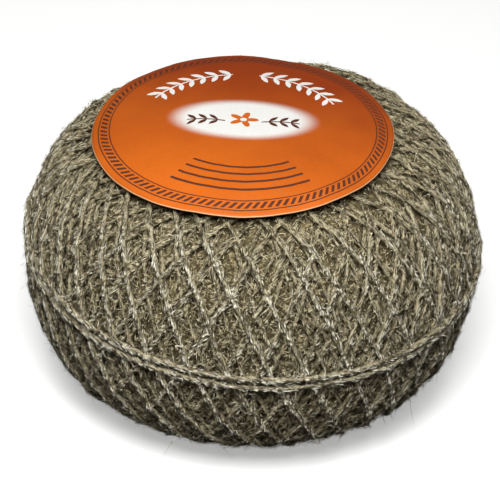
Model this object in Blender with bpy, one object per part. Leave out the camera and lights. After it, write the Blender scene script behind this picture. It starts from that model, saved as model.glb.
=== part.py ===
"""Ball of twine, cross-wound, with a round paper label on its upper end.

Metres, +Z up, origin on the floor under the middle of the ball. The side where the belly turns run low
faces -Y. The ball is one solid: its twine crosses in diamonds from end to end, and a few last turns run
round the belly. The label is a second solid that lies on the ball.
"""

import math

import bmesh
import bpy
import numpy as np

# Driving dimensions of the ball. Its axis stands where the bounding box, belly turns and all, is centred.
WINDING_AXIS = (-0.0002, 0.0007, 0.0)
BALL_RADIUS = 0.0519
BALL_HALF_HEIGHT = 0.0338
TWINE_DIAMETER = 0.0015
# The side profile is (r / radius) ** SIDE_POWER + (z / half height) ** END_POWER = 1.
SIDE_POWER = 4.69
END_POWER = 1.914

# The winding: as many passes lean one way as the other, and all turn back at one ring near the axis.
PASSES = 38
PASS_ANGLE = math.radians(64)
TURNING_RADIUS = 0.012
LAST_RING_RADIUS = 0.027
RIDGE_SHARE = 0.17
VALLEY_DEPTH = 0.0014

# The ends: a smooth crown under the label, and a flat ring around a shallow dimple below.
CROWN_RADIUS = 0.016
FLAT_OUTER_RADIUS = 0.0235
FLAT_INNER_RADIUS = 0.013
DIMPLE_RADIUS = 0.007
DIMPLE_DEPTH = 0.0035

# The belly turns: one strand that winds round the outside and dives under at both ends.
BELLY_TURNS = 2.3
BELLY_START = math.radians(62)
BELLY_PITCH = 0.0018
BELLY_LIFT = 0.0012
BELLY_ROOT = 0.0030
BELLY_TILT_HEIGHT = 0.0075
BELLY_LOW_SIDE = math.radians(-70)
BELLY_MEAN_HEIGHT = 0.0060
BELLY_STEPS_PER_TURN = 72
BELLY_DIVE = math.radians(14)

# The label: a thin paper disc that follows the ball's crown, a little off its centre.
LABEL_RADIUS = 0.0333
LABEL_CENTRE = (-0.0031, -0.0042)
LABEL_THICKNESS = 0.0010
LABEL_CLEARANCE = 0.00045
LABEL_RINGS = 6
LABEL_SECTORS = 48

TWINE_COLOUR = (0.165, 0.138, 0.088, 1.0)
LABEL_COLOUR = (0.690, 0.152, 0.022, 1.0)


def clear_scene():
    for old in list(bpy.data.objects):
        bpy.data.objects.remove(old, do_unlink=True)


def plain_material(name, colour, roughness):
    material = bpy.data.materials.new(name)
    material.use_nodes = True
    shader = material.node_tree.nodes["Principled BSDF"]
    shader.inputs["Base Color"].default_value = colour
    shader.inputs["Roughness"].default_value = roughness
    shader.inputs["Metallic"].default_value = 0.0
    return material


def add_object(name, mesh_data, material):
    mesh = bpy.data.meshes.new(name)
    mesh_data.to_mesh(mesh)
    mesh_data.free()
    mesh.materials.append(material)
    mesh.shade_smooth()
    mesh.set_sharp_from_angle(angle=math.radians(35))
    built = bpy.data.objects.new(name, mesh)
    built.location = WINDING_AXIS
    bpy.context.scene.collection.objects.link(built)
    return built


def crown_height(radius):
    """Height of the ball's upper envelope over the floor, at a distance from its axis."""
    share = 1 - (radius / BALL_RADIUS) ** SIDE_POWER
    return BALL_HALF_HEIGHT * (1 + max(share, 0.0) ** (1 / END_POWER))


def belly_radius(height):
    """Radius of the ball's side at a height over its middle."""
    share = 1 - (abs(height) / BALL_HALF_HEIGHT) ** END_POWER
    return BALL_RADIUS * share ** (1 / SIDE_POWER)


def ring_profile():
    """Radius and height over the middle of each ring of crossings, from the middle ring up.

    A strand keeps its angle on the side and turns back at TURNING_RADIUS, so it goes round the axis
    faster towards the end. A ring lies wherever it has gone round by another half pass.
    """
    steps = np.linspace(0, math.pi / 2, 4001)[:-1]
    radius = BALL_RADIUS * np.cos(steps) ** (2 / SIDE_POWER)
    height = BALL_HALF_HEIGHT * np.sin(steps) ** (2 / END_POWER)
    out = (radius - TURNING_RADIUS) / (BALL_RADIUS - TURNING_RADIUS)
    side_reach = BALL_RADIUS * math.cos(PASS_ANGLE)
    reach = TURNING_RADIUS + (side_reach - TURNING_RADIUS) * out**2
    keep = radius > LAST_RING_RADIUS
    cosine = reach[keep] / radius[keep]
    turn_rate = cosine / np.sqrt(1 - cosine**2) / radius[keep]
    run = np.hypot(np.diff(radius[keep]), np.diff(height[keep]))
    gone_round = np.concatenate([[0], np.cumsum(turn_rate[1:] * run)])
    half_pass = math.pi / PASSES
    marks = np.arange(int(gone_round[-1] / half_pass) + 1) * half_pass
    return [
        (float(np.interp(mark, gone_round, radius[keep])), float(np.interp(mark, gone_round, height[keep])))
        for mark in marks
    ]


def add_ring(mesh, radius, height, half_turns=0):
    """A ring of PASSES points, turned by half of a pass for an odd half_turns."""
    shift = (half_turns % 2) * math.pi / PASSES
    angles = [shift + 2 * math.pi * k / PASSES for k in range(PASSES)]
    return [mesh.verts.new((radius * math.cos(a), radius * math.sin(a), height)) for a in angles]


def join_rings(mesh, lower, upper, upper_is_shifted):
    """Triangles between two rings that lie half a pass apart."""
    for k in range(PASSES):
        after = (k + 1) % PASSES
        if upper_is_shifted:
            mesh.faces.new((lower[k], lower[after], upper[k]))
            mesh.faces.new((lower[after], upper[after], upper[k]))
        else:
            mesh.faces.new((lower[k], upper[after], upper[k]))
            mesh.faces.new((lower[k], lower[after], upper[after]))


def add_diamonds(mesh, rings, first_index):
    """Faces between crossings: one diamond stands on each point and reaches two rings up."""
    rows = []
    for low, ring in enumerate(rings[:-2]):
        middle, top = rings[low + 1], rings[low + 2]
        shifted = (first_index + low) % 2
        row = []
        for k in range(PASSES):
            left = middle[(k - 1 + shifted) % PASSES]
            right = middle[(k + shifted) % PASSES]
            row.append(mesh.faces.new((ring[k], right, top[k], left)))
        rows.append(row)
    return rows


def sink_valleys(mesh, rows, radii):
    """Leaves each strand as a ridge and sinks the floor of the diamond between the strands."""
    for row, radius in zip(rows, radii):
        width = 2 * math.pi * radius / PASSES
        shallow = min(1.0, width / (2 * math.pi * BALL_RADIUS / PASSES) + 0.15)
        bmesh.ops.inset_individual(
            mesh,
            faces=row,
            thickness=RIDGE_SHARE * width,
            depth=-VALLEY_DEPTH * shallow,
            use_even_offset=True,
        )


def wound_body():
    """The ball without its belly turns, standing on z = 0."""
    mesh = bmesh.new()
    upper = ring_profile()
    profile = [(r, -z) for r, z in reversed(upper[1:])] + upper
    first = -(len(upper) - 1)
    rings = [
        add_ring(mesh, radius, BALL_HALF_HEIGHT + height, first + row)
        for row, (radius, height) in enumerate(profile)
    ]
    rows = add_diamonds(mesh, rings, first)

    # Triangles close the zigzag above the last ring of diamonds and below the first.
    last = first + len(rings) - 1
    for k in range(PASSES):
        beside = (k + 1) % PASSES
        tip = rings[1][k if first % 2 == 0 else beside]
        mesh.faces.new((rings[0][beside], tip, rings[0][k]))
        tip = rings[-2][k if last % 2 == 0 else beside]
        mesh.faces.new((rings[-1][k], tip, rings[-1][beside]))

    # Crown.
    crown = add_ring(mesh, CROWN_RADIUS, crown_height(CROWN_RADIUS), last + 1)
    join_rings(mesh, rings[-1], crown, (last + 1) % 2 == 1)
    mesh.faces.new(crown)

    # Foot: the flat ring, then the dimple.
    turned = first - 1
    foot = add_ring(mesh, FLAT_OUTER_RADIUS, 0.0, turned)
    join_rings(mesh, foot, rings[0], first % 2 == 1)
    flat = add_ring(mesh, FLAT_INNER_RADIUS, 0.0, turned)
    dimple = add_ring(mesh, DIMPLE_RADIUS, DIMPLE_DEPTH, turned)
    for outer, inner in ((foot, flat), (flat, dimple)):
        for k in range(PASSES):
            beside = (k + 1) % PASSES
            mesh.faces.new((outer[beside], outer[k], inner[k], inner[beside]))
    mesh.faces.new(list(reversed(dimple)))

    bmesh.ops.recalc_face_normals(mesh, faces=mesh.faces)
    sink_valleys(mesh, rows, [profile[row + 1][0] for row in range(len(rows))])
    bmesh.ops.triangulate(mesh, faces=mesh.faces)
    return mesh


def belly_height(angle):
    """Height over the floor of the middle of the belly turns, at an angle round the axis."""
    wave = BELLY_TILT_HEIGHT * math.cos(angle - BELLY_LOW_SIDE)
    return BALL_HALF_HEIGHT + BELLY_MEAN_HEIGHT - wave


def belly_section(angle, offset, sunk):
    """Points across the strand: a round outer side, and a root that reaches into the ball."""
    middle = belly_height(angle) + offset
    base = belly_radius(middle - BALL_HALF_HEIGHT) + BELLY_LIFT - sunk
    half = TWINE_DIAMETER / 2
    points = [(base - BELLY_ROOT - BELLY_LIFT, -half), (base - BELLY_LIFT, -half)]
    for turn in (-50, 0, 50):
        bow = math.radians(turn)
        points.append((base - half + half * math.cos(bow), half * math.sin(bow)))
    points += [(base - BELLY_LIFT, half), (base - BELLY_ROOT - BELLY_LIFT, half)]
    return [(r * math.cos(angle), r * math.sin(angle), middle + z) for r, z in points]


def belly_strand():
    """The belly turns as one long closed strand."""
    mesh = bmesh.new()
    steps = round(BELLY_TURNS * BELLY_STEPS_PER_TURN)
    sections = []
    for step in range(steps + 1):
        gone = 2 * math.pi * step / BELLY_STEPS_PER_TURN
        left = 2 * math.pi * (steps - step) / BELLY_STEPS_PER_TURN
        near_end = max(0.0, 1 - min(gone, left) / BELLY_DIVE)
        offset = BELLY_PITCH * (gone / (2 * math.pi) - BELLY_TURNS / 2)
        sunk = 1.6 * BELLY_LIFT * near_end**2
        points = belly_section(BELLY_START + gone, offset, sunk)
        sections.append([mesh.verts.new(point) for point in points])
    size = len(sections[0])
    for here, after in zip(sections, sections[1:]):
        for k in range(size):
            beside = (k + 1) % size
            mesh.faces.new((here[k], here[beside], after[beside], after[k]))
    mesh.faces.new(sections[0])
    mesh.faces.new(list(reversed(sections[-1])))
    bmesh.ops.recalc_face_normals(mesh, faces=mesh.faces)
    bmesh.ops.triangulate(mesh, faces=mesh.faces)
    return mesh


def build_ball():
    twine = plain_material("twine", TWINE_COLOUR, 0.9)
    ball = add_object("ball", wound_body(), twine)
    strand = add_object("belly_strand", belly_strand(), twine)
    strand.hide_render = True
    strand.display_type = "WIRE"
    union = ball.modifiers.new("belly turns", "BOOLEAN")
    union.operation = "UNION"
    union.solver = "EXACT"
    union.object = strand


def label_points(radius, extra):
    """A ring of the label at a distance from its own centre, raised over the crown by extra."""
    points = []
    for k in range(LABEL_SECTORS):
        angle = 2 * math.pi * k / LABEL_SECTORS
        x = LABEL_CENTRE[0] + radius * math.cos(angle)
        y = LABEL_CENTRE[1] + radius * math.sin(angle)
        points.append((x, y, crown_height(math.hypot(x, y)) + LABEL_CLEARANCE + extra))
    return points


def build_label():
    mesh = bmesh.new()
    sides = []
    for extra in (0.0, LABEL_THICKNESS):
        rings = [
            [mesh.verts.new(point) for point in label_points(LABEL_RADIUS * ring / LABEL_RINGS, extra)]
            for ring in range(1, LABEL_RINGS + 1)
        ]
        height = crown_height(math.hypot(*LABEL_CENTRE)) + LABEL_CLEARANCE + extra
        middle = mesh.verts.new((*LABEL_CENTRE, height))
        for k in range(LABEL_SECTORS):
            beside = (k + 1) % LABEL_SECTORS
            mesh.faces.new((middle, rings[0][k], rings[0][beside]))
            for inner, outer in zip(rings, rings[1:]):
                mesh.faces.new((inner[k], outer[k], outer[beside], inner[beside]))
        sides.append(rings[-1])
    under, over = sides
    for k in range(LABEL_SECTORS):
        beside = (k + 1) % LABEL_SECTORS
        mesh.faces.new((under[k], under[beside], over[beside], over[k]))
    bmesh.ops.recalc_face_normals(mesh, faces=mesh.faces)
    bmesh.ops.triangulate(mesh, faces=mesh.faces)
    add_object("label", mesh, plain_material("label", LABEL_COLOUR, 0.55))


clear_scene()
build_ball()
build_label()
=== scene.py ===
"""Looks of a cross-wound ball of flax twine with a round paper label on its upper end.

The winding is laid strand by strand over a height map of the ball, as a winding machine lays it, so
that later passes rest on earlier ones and the gaps between them are real. Lengths in this file are
millimetres until a mesh is written, which turns them into metres.
"""

from __future__ import annotations

import logging
import math
from dataclasses import dataclass, field
from enum import Enum

import bpy
import numpy as np
from mathutils import Matrix, Vector

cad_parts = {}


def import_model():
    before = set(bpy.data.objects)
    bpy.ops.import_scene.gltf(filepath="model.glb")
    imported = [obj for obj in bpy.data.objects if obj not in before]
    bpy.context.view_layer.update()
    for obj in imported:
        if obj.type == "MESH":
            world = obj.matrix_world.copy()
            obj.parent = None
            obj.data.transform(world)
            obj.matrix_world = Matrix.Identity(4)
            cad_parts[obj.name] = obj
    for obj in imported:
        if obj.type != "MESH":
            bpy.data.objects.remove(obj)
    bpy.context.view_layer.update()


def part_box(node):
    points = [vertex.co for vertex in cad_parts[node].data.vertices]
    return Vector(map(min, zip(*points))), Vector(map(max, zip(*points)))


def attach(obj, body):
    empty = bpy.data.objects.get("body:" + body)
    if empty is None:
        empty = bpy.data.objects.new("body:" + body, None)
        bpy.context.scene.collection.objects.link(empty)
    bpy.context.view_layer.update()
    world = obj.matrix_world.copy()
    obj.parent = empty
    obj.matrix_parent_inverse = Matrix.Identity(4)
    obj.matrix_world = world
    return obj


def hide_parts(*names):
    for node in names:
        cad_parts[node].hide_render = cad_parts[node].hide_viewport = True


Colour = tuple[float, float, float]
Place = tuple[float, float, float]
Range = tuple[float, float]

LOG = logging.getLogger("twine_ball")
METRES = 0.001
# Millimetres in the centimetre that a strand's own UV counts along it.
CENTIMETRE = 10.0
TURN = 2 * math.pi
FRONT = -math.pi / 2
# The name of the mesh attribute with each point's depth under the ball's outer surface.
DEPTH = "depth"
# Painted shade: what a colour is multiplied by deep in the winding, where less light reaches.
DEEP_SHADE: Colour = (0.66, 0.59, 0.41)
# Waves round the ball in the forms that only hint at crossed passes. They make twice as many diamonds.
WEAVE_WAVES = 19


# ---------------------------------------------------------------------------------------------------
# Shader maths
# ---------------------------------------------------------------------------------------------------


class Shade:
    """An output socket of a node tree that can be used in arithmetic."""

    def __init__(self, tree: bpy.types.NodeTree, socket: bpy.types.NodeSocket) -> None:
        """Wraps a socket.

        Args:
            tree: the node tree that holds the socket.
            socket: the output socket.
        """
        self.tree = tree
        self.socket = socket

    def _math(self, operation: str, *values: Shade | float) -> Shade:
        """Adds a Math node.

        Args:
            operation: the Math node's operation.
            values: its inputs in order, sockets or numbers.

        Returns:
            The node's result.
        """
        node = self.tree.nodes.new("ShaderNodeMath")
        node.operation = operation
        for place, value in enumerate(values):
            if isinstance(value, Shade):
                self.tree.links.new(value.socket, node.inputs[place])
            else:
                node.inputs[place].default_value = value
        return Shade(self.tree, node.outputs[0])

    def __add__(self, other: Shade | float) -> Shade:
        """Sum."""
        return self._math("ADD", self, other)

    __radd__ = __add__

    def __sub__(self, other: Shade | float) -> Shade:
        """Difference."""
        return self._math("SUBTRACT", self, other)

    def __rsub__(self, other: float) -> Shade:
        """Difference from a number."""
        return self._math("SUBTRACT", other, self)

    def __mul__(self, other: Shade | float) -> Shade:
        """Product."""
        return self._math("MULTIPLY", self, other)

    __rmul__ = __mul__

    def __truediv__(self, other: Shade | float) -> Shade:
        """Quotient."""
        return self._math("DIVIDE", self, other)

    def __pow__(self, other: float) -> Shade:
        """Power."""
        return self._math("POWER", self, other)

    def __abs__(self) -> Shade:
        """Size without sign."""
        return self._math("ABSOLUTE", self)

    def above(self, limit: Shade | float) -> Shade:
        """One where this is over the limit, else zero."""
        return self._math("GREATER_THAN", self, limit)

    def below(self, limit: Shade | float) -> Shade:
        """One where this is under the limit, else zero."""
        return self._math("LESS_THAN", self, limit)

    def most(self, other: Shade | float) -> Shade:
        """The larger of two values."""
        return self._math("MAXIMUM", self, other)

    def fraction(self) -> Shade:
        """The part after the decimal point."""
        return self._math("FRACT", self)

    def sine(self) -> Shade:
        """Sine of an angle in radians."""
        return self._math("SINE", self)

    def cosine(self) -> Shade:
        """Cosine of an angle in radians."""
        return self._math("COSINE", self)

    def angle_from(self, across: Shade) -> Shade:
        """Angle whose tangent is this over across."""
        return self._math("ARCTAN2", self, across)

    def root(self) -> Shade:
        """Square root."""
        return self._math("SQRT", self)

    def ramp(self, low: float, high: float) -> Shade:
        """Rises smoothly from zero to one.

        Args:
            low: the value up to which the result is zero.
            high: the value from which the result is one.

        Returns:
            The result.
        """
        node = self.tree.nodes.new("ShaderNodeMapRange")
        node.interpolation_type = "SMOOTHSTEP"
        self.tree.links.new(self.socket, node.inputs["Value"])
        node.inputs["From Min"].default_value = low
        node.inputs["From Max"].default_value = high
        return Shade(self.tree, node.outputs["Result"])


class Dye:
    """A material whose nodes are written as expressions."""

    def __init__(self, name: str) -> None:
        """Starts a material with a Principled shader.

        Args:
            name: the material's name.
        """
        self.material = bpy.data.materials.new(name)
        self.material.use_nodes = True
        self.tree = self.material.node_tree
        self.shader = self.tree.nodes["Principled BSDF"]

    def node(
        self,
        kind: str,
        settings: dict[str, object] | None = None,
        inputs: dict[str | int, object] | None = None,
        output: str | int = 0,
    ) -> Shade:
        """Adds any node.

        Args:
            kind: the node's type.
            settings: properties set first; "stops" holds a ramp's (position, colour) pairs.
            inputs: socket name or number to a value or a Shade.
            output: the output that is wanted.

        Returns:
            The output.
        """
        node = self.tree.nodes.new(kind)
        for name, value in (settings or {}).items():
            if name == "stops":
                self._set_stops(node.color_ramp, value)
            else:
                setattr(node, name, value)
        for name, value in (inputs or {}).items():
            if isinstance(value, Shade):
                self.tree.links.new(value.socket, node.inputs[name])
            else:
                node.inputs[name].default_value = value
        return Shade(self.tree, node.outputs[output])

    @staticmethod
    def _set_stops(ramp: bpy.types.ColorRamp, stops: list[tuple[float, Colour]]) -> None:
        """Gives a colour ramp its stops.

        Args:
            ramp: the colour ramp.
            stops: (position, colour) pairs.
        """
        while len(ramp.elements) < len(stops):
            ramp.elements.new(0.5)
        for element, (position, colour) in zip(ramp.elements, stops):
            element.position = position
            element.color = (*colour, 1.0)

    def mix(
        self, share: Shade | float, first: Shade | Colour, second: Shade | Colour, mode: str = "MIX"
    ) -> Shade:
        """Mixes two colours.

        Args:
            share: how much of the second colour is used.
            first: a colour, fixed or a Shade.
            second: a colour, fixed or a Shade.
            mode: the Mix node's blend type.

        Returns:
            The mixed colour.
        """
        settings = {"data_type": "RGBA", "blend_type": mode}
        colours = [value if isinstance(value, Shade) else (*value, 1.0) for value in (first, second)]
        return self.node("ShaderNodeMix", settings, {0: share, 6: colours[0], 7: colours[1]}, 2)

    def times(self, colour: Shade, tint: Shade | Colour) -> Shade:
        """A colour multiplied by another."""
        return self.mix(1.0, colour, tint, "MULTIPLY")

    def noise(self, where: Shade, scale: float, detail: float = 0.0) -> Shade:
        """Smooth noise from 0 to 1 at a place, with scale in cycles of the place's unit."""
        values = {"Vector": where, "Scale": scale, "Detail": detail}
        return self.node("ShaderNodeTexNoise", None, values, "Fac")

    def grey(self, level: Shade) -> Shade:
        """A level as a colour without hue."""
        return self.node("ShaderNodeCombineColor", None, {0: level, 1: level, 2: level})

    def part(self, vector: Shade, axis: str) -> Shade:
        """One part of a vector: X, Y or Z."""
        return self.node("ShaderNodeSeparateXYZ", None, {0: vector}, axis)

    def depth(self) -> Shade:
        """Millimetres under the ball's outer surface, from the piece's own attribute."""
        return self.node("ShaderNodeAttribute", {"attribute_name": DEPTH}, None, "Fac")

    def deep_shade(self, colour: Shade, share: Shade) -> Shade:
        """A colour darkened and browned by a share: painted shade deep in the winding."""
        return self.mix(share, colour, self.times(colour, DEEP_SHADE))

    def place(self) -> Shade:
        """Object coordinates in millimetres."""
        metres = self.node("ShaderNodeTexCoord", None, None, "Object")
        return self.node("ShaderNodeVectorMath", {"operation": "SCALE"}, {0: metres, "Scale": 1 / METRES})

    def set(self, name: str, value: Shade | float | tuple[float, ...]) -> None:
        """Feeds one of the shader's sockets with a Shade, or sets it to a constant.

        Args:
            name: the socket's name.
            value: the Shade or the constant.
        """
        if isinstance(value, Shade):
            self.tree.links.new(value.socket, self.shader.inputs[name])
        else:
            self.shader.inputs[name].default_value = value

    def bump(self, height: Shade, depth: float) -> None:
        """Feeds the shader's Normal with a height from 0 to 1 that stands for a depth in millimetres."""
        values = {"Height": height, "Strength": 1.0, "Distance": depth * METRES}
        self.set("Normal", self.node("ShaderNodeBump", None, values, "Normal"))


# ---------------------------------------------------------------------------------------------------
# Finishes of the twine
# ---------------------------------------------------------------------------------------------------


def curly_lines(noise: Shade, width: float) -> Shade:
    """Thin curly lines: one where a noise is at its middle value, falling to zero at a width from it."""
    return (1 - abs(noise - 0.5) / width).most(0.0)


@dataclass(frozen=True)
class FuzzFinish:
    """Matted fuzz over everything but the outermost ridges: brown felt with straw-coloured hairs.

    Each net of hairs is given by its noise's scale, its detail and the lines' width. The hairs are
    broken where another noise is low.
    """

    felt: Colour = (0.066, 0.054, 0.028)
    straw: Colour = (0.140, 0.120, 0.072)
    hair: Colour = (0.600, 0.545, 0.380)
    loose_net: tuple[float, float, float] = (0.95, 1.0, 0.065)
    dense_net: tuple[float, float, float] = (1.60, 0.0, 0.085)
    break_scale: float = 0.90
    break_range: Range = (0.40, 0.56)
    felt_scale: float = 2.0
    felt_range: Range = (0.36, 0.62)
    hair_share: float = 0.80
    hair_height: float = 0.12

    def hairs(self, dye: Dye, place: Shade) -> Shade:
        """Curly hairs, broken into short lengths.

        Args:
            dye: the material.
            place: the place in millimetres.

        Returns:
            Where the hairs are, from 0 to 1.
        """
        nets = [
            curly_lines(dye.noise(place, scale, detail), width)
            for scale, detail, width in (self.loose_net, self.dense_net)
        ]
        return nets[0].most(nets[1]) * dye.noise(place, self.break_scale).ramp(*self.break_range)

    def dye(self) -> bpy.types.Material:
        """Builds the deep winding's own material, which shows only through gaps.

        Returns:
            The material.
        """
        dye = Dye("deep_winding")
        place = dye.place()
        hairs = self.hairs(dye, place)
        ground = dye.mix(dye.noise(place, self.felt_scale).ramp(*self.felt_range), self.felt, self.straw)
        colour = dye.mix(hairs * self.hair_share, ground, self.hair)
        # Painted shade: the deep winding is darkened and browned because it lies deep under the outer
        # strands.
        dye.set("Base Color", dye.times(colour, DEEP_SHADE))
        dye.set("Roughness", 0.92 - hairs * 0.10)
        dye.bump(hairs, self.hair_height)
        return dye.material


@dataclass(frozen=True)
class Streak:
    """Noise stretched along a strand and whole round it.

    Across is the radius of its circle in the noise's space, which sets how many streaks go round. Rate is
    in cycles for each millimetre along. Offset moves it round in radians and along in millimetres.
    """

    across: float
    rate: float
    detail: float = 0.0
    offset: Range | None = None

    def noise(self, dye: Dye, angle: Shade, along: Shade) -> Shade:
        """The streaks at a place.

        Args:
            dye: the material.
            angle: the angle round the strand, in radians.
            along: millimetres along the strand.

        Returns:
            The noise, from 0 to 1.
        """
        if self.offset is not None:
            angle, along = angle + self.offset[0], along + self.offset[1]
        parts = {0: angle.cosine() * self.across, 1: angle.sine() * self.across, 2: along * self.rate}
        return dye.noise(dye.node("ShaderNodeCombineXYZ", None, parts), 1.0, self.detail)


@dataclass(frozen=True)
class TwineFinish:
    """Natural flax: straw-coloured fibres that run along the plies, painted shade in the grooves, bits of
    stalk.

    A ridge is pale and clean. Down its flanks and on deeper strands it turns to a bed of matted fibres
    with painted shade, which is the strand's own colour times the darker matted tint, with hairs of fuzz
    over it.
    """

    dark: Colour = (0.045, 0.034, 0.016)
    middle: Colour = (0.260, 0.225, 0.135)
    light: Colour = (0.680, 0.632, 0.478)
    middle_place: float = 0.45
    shine: Colour = (0.960, 0.935, 0.800)
    stalk: Colour = (0.105, 0.058, 0.020)
    grey: Colour = (0.210, 0.195, 0.128)
    # Matted fibres and painted shade: what the bed multiplies the strand's own colour by.
    matted: Colour = (0.388, 0.352, 0.276)
    fuzz: FuzzFinish = FuzzFinish()
    fibre_angle_length: float = 13.0
    bundle: Streak = Streak(0.95, 0.40, 1.0)
    fine: Streak = Streak(1.90, 0.85, 1.0)
    thread: Streak = Streak(1.05, 0.30)
    thread_width: float = 0.15
    thin_thread: Streak = Streak(0.75, 0.24, offset=(2.0, 71.0))
    thin_thread_width: float = 0.12
    glint_range: Range = (0.44, 0.57)
    fibre_range: Range = (0.40, 0.60)
    patch_scale: float = 0.055
    patch_range: Range = (0.40, 0.62)
    patch_share: float = 0.45
    shine_share: float = 0.95
    groove_shade: float = 0.24
    bed_hair_share: float = 0.40
    ragged_depth: float = 0.8
    buried_range: Range = (0.22, 0.56)
    buried_share: float = 0.94
    ridge_hair_share: float = 0.06
    deep_shade_range: Range = (0.3, 3.0)
    deep_shade_share: float = 0.35
    speck_scale: float = 1.3
    speck_level: float = 0.735
    speck_share: float = 0.65
    relief: float = 0.20

    def dye(self) -> bpy.types.Material:
        """Builds the material from a strand's own UV: u round the strand, v along it in centimetres.

        Returns:
            The material.
        """
        dye = Dye("flax_twine")
        uv = dye.node("ShaderNodeTexCoord", None, None, "UV")
        round_it, along = dye.part(uv, "X"), dye.part(uv, "Y") * CENTIMETRE
        place = dye.place()

        angle = round_it * TURN + along * (TURN / self.fibre_angle_length)
        bundle = self.bundle.noise(dye, angle, along)
        fine = self.fine.noise(dye, angle, along)
        threads = curly_lines(self.thread.noise(dye, angle, along), self.thread_width)
        thin_threads = curly_lines(self.thin_thread.noise(dye, angle, along), self.thin_thread_width)
        threads = threads.most(thin_threads)
        glint = (bundle * 0.35 + fine * 0.65).ramp(*self.glint_range)
        fibre = (bundle * 0.5 + fine * 0.5).ramp(*self.fibre_range)

        stops = [(0.0, self.dark), (self.middle_place, self.middle), (1.0, self.light)]
        colour = dye.node("ShaderNodeValToRGB", {"stops": stops}, {0: fibre}, "Color")
        patch = dye.noise(place, self.patch_scale, 2.0).ramp(*self.patch_range)
        colour = dye.mix(patch * self.patch_share, colour, self.grey)
        # Painted highlights: near-white glints along the threads.
        colour = dye.mix(threads * glint * self.shine_share, colour, self.shine)
        # Painted shade in the grooves between the plies.
        groove = (round_it * (2 * TURN)).cosine() * 0.5 + 0.5
        shadow = 1 - (1 - groove) ** 2.0 * self.groove_shade
        colour = dye.times(colour, dye.grey(shadow))

        hairs = self.fuzz.hairs(dye, place)
        # Partly matted fuzz, partly painted shade: the bed is darker than the ridge, with fuzz hairs over
        # it.
        bed = dye.mix(hairs * self.bed_hair_share, dye.times(colour, self.matted), self.fuzz.hair)
        depth = dye.depth()
        ragged = depth + (dye.noise(place, 1.0, 1.0) - 0.5) * self.ragged_depth
        buried = ragged.ramp(*self.buried_range)
        colour = dye.mix(buried * self.buried_share + hairs * self.ridge_hair_share, colour, bed)
        # Painted shade: the strand darkens and browns the deeper it lies.
        colour = dye.deep_shade(colour, depth.ramp(*self.deep_shade_range) * self.deep_shade_share)
        speck = dye.noise(place, self.speck_scale).above(self.speck_level)
        colour = dye.mix(speck * self.speck_share, colour, self.stalk)

        dye.set("Base Color", colour)
        dye.set("Roughness", 0.74 - fibre * 0.12 - threads * 0.18)
        dye.set("Specular IOR Level", 0.28)
        dye.bump(fine * 0.30 + bundle * 0.25 + threads * 0.25 + hairs * 0.2, self.relief)
        return dye.material


@dataclass(frozen=True)
class FibreFinish:
    """Loose fibres: pale straw, a few brown ones, a slight shine, and painted shade that browns them deep
    down.
    """

    pale: Colour = (0.925, 0.885, 0.730)
    brown: Colour = (0.120, 0.094, 0.048)
    shade_scale: float = 0.85
    pale_range: Range = (0.43, 0.55)
    deep_shade_range: Range = (0.1, 1.0)
    deep_shade_share: float = 0.85

    def dye(self) -> bpy.types.Material:
        """Builds the material from the place, so that each fibre has its own shade.

        Returns:
            The material.
        """
        dye = Dye("loose_fibre")
        shade = dye.noise(dye.place(), self.shade_scale, 1.0)
        colour = dye.mix(shade.ramp(*self.pale_range), self.brown, self.pale)
        # Painted shade: fibres darken and brown the deeper they lie.
        dye.set("Base Color", dye.deep_shade(colour, dye.depth().ramp(*self.deep_shade_range) * self.deep_shade_share))
        dye.set("Roughness", 0.34 + shade * 0.2)
        dye.set("Specular IOR Level", 0.32)
        return dye.material


# ---------------------------------------------------------------------------------------------------
# The label's printed design
# ---------------------------------------------------------------------------------------------------


@dataclass(frozen=True)
class Spot:
    """A place on the label, in millimetres from its centre: across, up, and straight out."""

    x: Shade
    y: Shade
    radius: Shade


@dataclass(frozen=True)
class RopeBorder:
    """A rope round the label: slanted dashes between two thin rings."""

    radius: float = 30.6
    half_width: float = 0.75
    dashes: int = 120
    slant: float = 0.55
    dash_share: float = 0.52
    ring_gap: float = 0.45
    ring_half_width: float = 0.13

    def mask(self, spot: Spot) -> Shade:
        """Where the border is printed.

        Args:
            spot: the place on the label.

        Returns:
            One on the dashes and rings, else zero.
        """
        turned = spot.y.angle_from(spot.x) * (self.dashes / TURN) + (spot.radius - self.radius) * self.slant
        off = abs(spot.radius - self.radius)
        dashes = off.below(self.half_width) * turned.fraction().below(self.dash_share)
        return dashes.most(abs(off - self.half_width - self.ring_gap).below(self.ring_half_width))


@dataclass(frozen=True)
class RuledArcs:
    """Ruled arcs under the oval, about the label's centre, each a little longer than the one inside it."""

    spacing: float = 2.5
    half_width: float = 0.13
    middle_radius: float = 22.5
    reach: float = 5.0
    side_slope: float = 1.35
    top: float = -2.0

    def mask(self, spot: Spot) -> Shade:
        """Where the arcs are printed.

        Args:
            spot: the place on the label.

        Returns:
            One on the arcs, else zero.
        """
        row = (spot.radius / self.spacing).fraction() - 0.5
        band = abs(row).below(self.half_width) * abs(spot.radius - self.middle_radius).below(self.reach)
        return band * (abs(spot.x) * self.side_slope + spot.y).below(self.top)


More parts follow.
